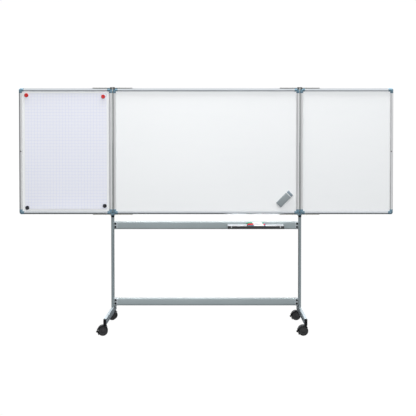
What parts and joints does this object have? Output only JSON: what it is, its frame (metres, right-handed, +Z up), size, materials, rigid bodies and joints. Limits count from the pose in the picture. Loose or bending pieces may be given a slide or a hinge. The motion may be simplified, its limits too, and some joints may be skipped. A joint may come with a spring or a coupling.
{
  "type": "rolling whiteboard",
  "caption": "Mobile whiteboard with a fixed centre board and hinged wing boards that fold over it, on a post stand with braked casters and a marker tray.",
  "frame": {"origin": "on the floor, at the middle of the whole part's footprint", "axes": "+Z up; +X to the right of someone facing the writing side, along the boards; the writing side faces -Y"},
  "size_m": [3.006, 0.5814, 1.9106],
  "materials": {
    "white_face": "gloss",
    "frame_aluminium": "satin",
    "corner_plastic": "satin",
    "hinge_steel": "satin",
    "black_plastic": "satin",
    "stand_steel": "satin",
    "tray_metal": "satin",
    "caster_plastic": "satin",
    "paper": "matte",
    "magnet_red": "gloss",
    "felt": "matte",
    "eraser_body": "satin",
    "marker_white": "gloss",
    "marker_colour": "gloss"
  },
  "bodies": {
    "stand": {"left_post": "stand_steel", "left_foot_beam": "stand_steel", "left_front_end_cap": "black_plastic", "right_post": "stand_steel", "right_foot_beam": "stand_steel", "right_front_end_cap": "black_plastic", "upper_crossbar": "stand_steel", "lower_crossbar": "stand_steel", "marker_tray": "tray_metal", "centre_panel": "white_face", "centre_top_rail": "frame_aluminium", "centre_bottom_rail": "frame_aluminium", "centre_left_stile": "frame_aluminium", "centre_right_stile": "frame_aluminium", "centre_corner_top_left": "corner_plastic", "centre_hinge_plate_top_left": "hinge_steel", "centre_corner_bottom_left": "corner_plastic", "centre_hinge_plate_bottom_left": "hinge_steel", "centre_corner_top_right": "corner_plastic", "centre_hinge_plate_top_right": "hinge_steel", "centre_corner_bottom_right": "corner_plastic", "centre_hinge_plate_bottom_right": "hinge_steel"},
    "left_wing": {"left_wing_panel": "white_face", "left_wing_top_rail": "frame_aluminium", "left_wing_bottom_rail": "frame_aluminium", "left_wing_left_stile": "frame_aluminium", "left_wing_right_stile": "frame_aluminium", "left_wing_corner_top_left": "corner_plastic", "left_wing_corner_bottom_left": "corner_plastic", "left_wing_corner_top_right": "corner_plastic", "left_wing_hinge_plate_top_right": "hinge_steel", "left_wing_corner_bottom_right": "corner_plastic", "left_wing_hinge_plate_bottom_right": "hinge_steel"},
    "right_wing": {"right_wing_panel": "white_face", "right_wing_top_rail": "frame_aluminium", "right_wing_bottom_rail": "frame_aluminium", "right_wing_left_stile": "frame_aluminium", "right_wing_right_stile": "frame_aluminium", "right_wing_corner_top_left": "corner_plastic", "right_wing_hinge_plate_top_left": "hinge_steel", "right_wing_corner_bottom_left": "corner_plastic", "right_wing_hinge_plate_bottom_left": "hinge_steel", "right_wing_corner_top_right": "corner_plastic", "right_wing_corner_bottom_right": "corner_plastic"},
    "left_link": {"left_link_top": "black_plastic", "left_link_bottom": "black_plastic"},
    "right_link": {"right_link_top": "black_plastic", "right_link_bottom": "black_plastic"},
    "caster_front_left_fork": {"caster_front_left_fork": "caster_plastic"},
    "caster_front_left_wheels": {"caster_front_left_wheels": "caster_plastic"},
    "caster_front_left_brake": {"caster_front_left_brake": "black_plastic"},
    "caster_front_right_fork": {"caster_front_right_fork": "caster_plastic"},
    "caster_front_right_wheels": {"caster_front_right_wheels": "caster_plastic"},
    "caster_front_right_brake": {"caster_front_right_brake": "black_plastic"},
    "caster_rear_left_fork": {"caster_rear_left_fork": "caster_plastic"},
    "caster_rear_left_wheels": {"caster_rear_left_wheels": "caster_plastic"},
    "caster_rear_left_brake": {"caster_rear_left_brake": "black_plastic"},
    "caster_rear_right_fork": {"caster_rear_right_fork": "caster_plastic"},
    "caster_rear_right_wheels": {"caster_rear_right_wheels": "caster_plastic"},
    "caster_rear_right_brake": {"caster_rear_right_brake": "black_plastic"}
  },
  "joints": [
    {"name": "left_link_turn", "type": "hinge", "parent": "stand", "child": "left_link", "pos_m": [-0.74, 0.102, 1.396], "axis": [0, 0, 1], "range_deg": [0, 90]},
    {"name": "left_wing_turn", "type": "hinge", "parent": "left_link", "child": "left_wing", "pos_m": [-0.764, 0.102, 1.396], "axis": [0, 0, 1], "range_deg": [0, 90]},
    {"name": "right_link_turn", "type": "hinge", "parent": "stand", "child": "right_link", "pos_m": [0.74, 0.102, 1.396], "axis": [0, 0, -1], "range_deg": [0, 90]},
    {"name": "right_wing_turn", "type": "hinge", "parent": "right_link", "child": "right_wing", "pos_m": [0.764, 0.102, 1.396], "axis": [0, 0, -1], "range_deg": [0, 90]},
    {"name": "caster_front_left_swivel", "type": "hinge", "parent": "stand", "child": "caster_front_left_fork", "pos_m": [-0.76, -0.258, 0.08], "axis": [0, 0, 1], "continuous": true},
    {"name": "caster_front_left_roll", "type": "hinge", "parent": "caster_front_left_fork", "child": "caster_front_left_wheels", "pos_m": [-0.77782, -0.2605, 0.03718], "axis": [-0.1392, 0.9903, 0], "continuous": true},
    {"name": "caster_front_left_brake_release", "type": "hinge", "parent": "caster_front_left_fork", "child": "caster_front_left_brake", "pos_m": [-0.81883, -0.26627, 0.04674], "axis": [-0.1392, 0.9903, 0], "range_deg": [0, 14]},
    {"name": "caster_front_right_swivel", "type": "hinge", "parent": "stand", "child": "caster_front_right_fork", "pos_m": [0.76, -0.258, 0.08], "axis": [0, 0, 1], "continuous": true},
    {"name": "caster_front_right_roll", "type": "hinge", "parent": "caster_front_right_fork", "child": "caster_front_right_wheels", "pos_m": [0.742, -0.258, 0.03718], "axis": [0, 1, 0], "continuous": true},
    {"name": "caster_front_right_brake_release", "type": "hinge", "parent": "caster_front_right_fork", "child": "caster_front_right_brake", "pos_m": [0.70059, -0.258, 0.04674], "axis": [0, 1, 0], "range_deg": [0, 14]},
    {"name": "caster_rear_left_swivel", "type": "hinge", "parent": "stand", "child": "caster_rear_left_fork", "pos_m": [-0.76, 0.258, 0.08], "axis": [0, 0, 1], "continuous": true},
    {"name": "caster_rear_left_roll", "type": "hinge", "parent": "caster_rear_left_fork", "child": "caster_rear_left_wheels", "pos_m": [-0.77782, 0.2605, 0.03718], "axis": [0.1392, 0.9903, 0], "continuous": true},
    {"name": "caster_rear_left_brake_release", "type": "hinge", "parent": "caster_rear_left_fork", "child": "caster_rear_left_brake", "pos_m": [-0.81883, 0.26627, 0.04674], "axis": [0.1392, 0.9903, 0], "range_deg": [0, 14]},
    {"name": "caster_rear_right_swivel", "type": "hinge", "parent": "stand", "child": "caster_rear_right_fork", "pos_m": [0.76, 0.258, 0.08], "axis": [0, 0, 1], "continuous": true},
    {"name": "caster_rear_right_roll", "type": "hinge", "parent": "caster_rear_right_fork", "child": "caster_rear_right_wheels", "pos_m": [0.742, 0.258, 0.03718], "axis": [0, 1, 0], "continuous": true},
    {"name": "caster_rear_right_brake_release", "type": "hinge", "parent": "caster_rear_right_fork", "child": "caster_rear_right_brake", "pos_m": [0.70059, 0.258, 0.04674], "axis": [0, 1, 0], "range_deg": [0, 14]}
  ]
}
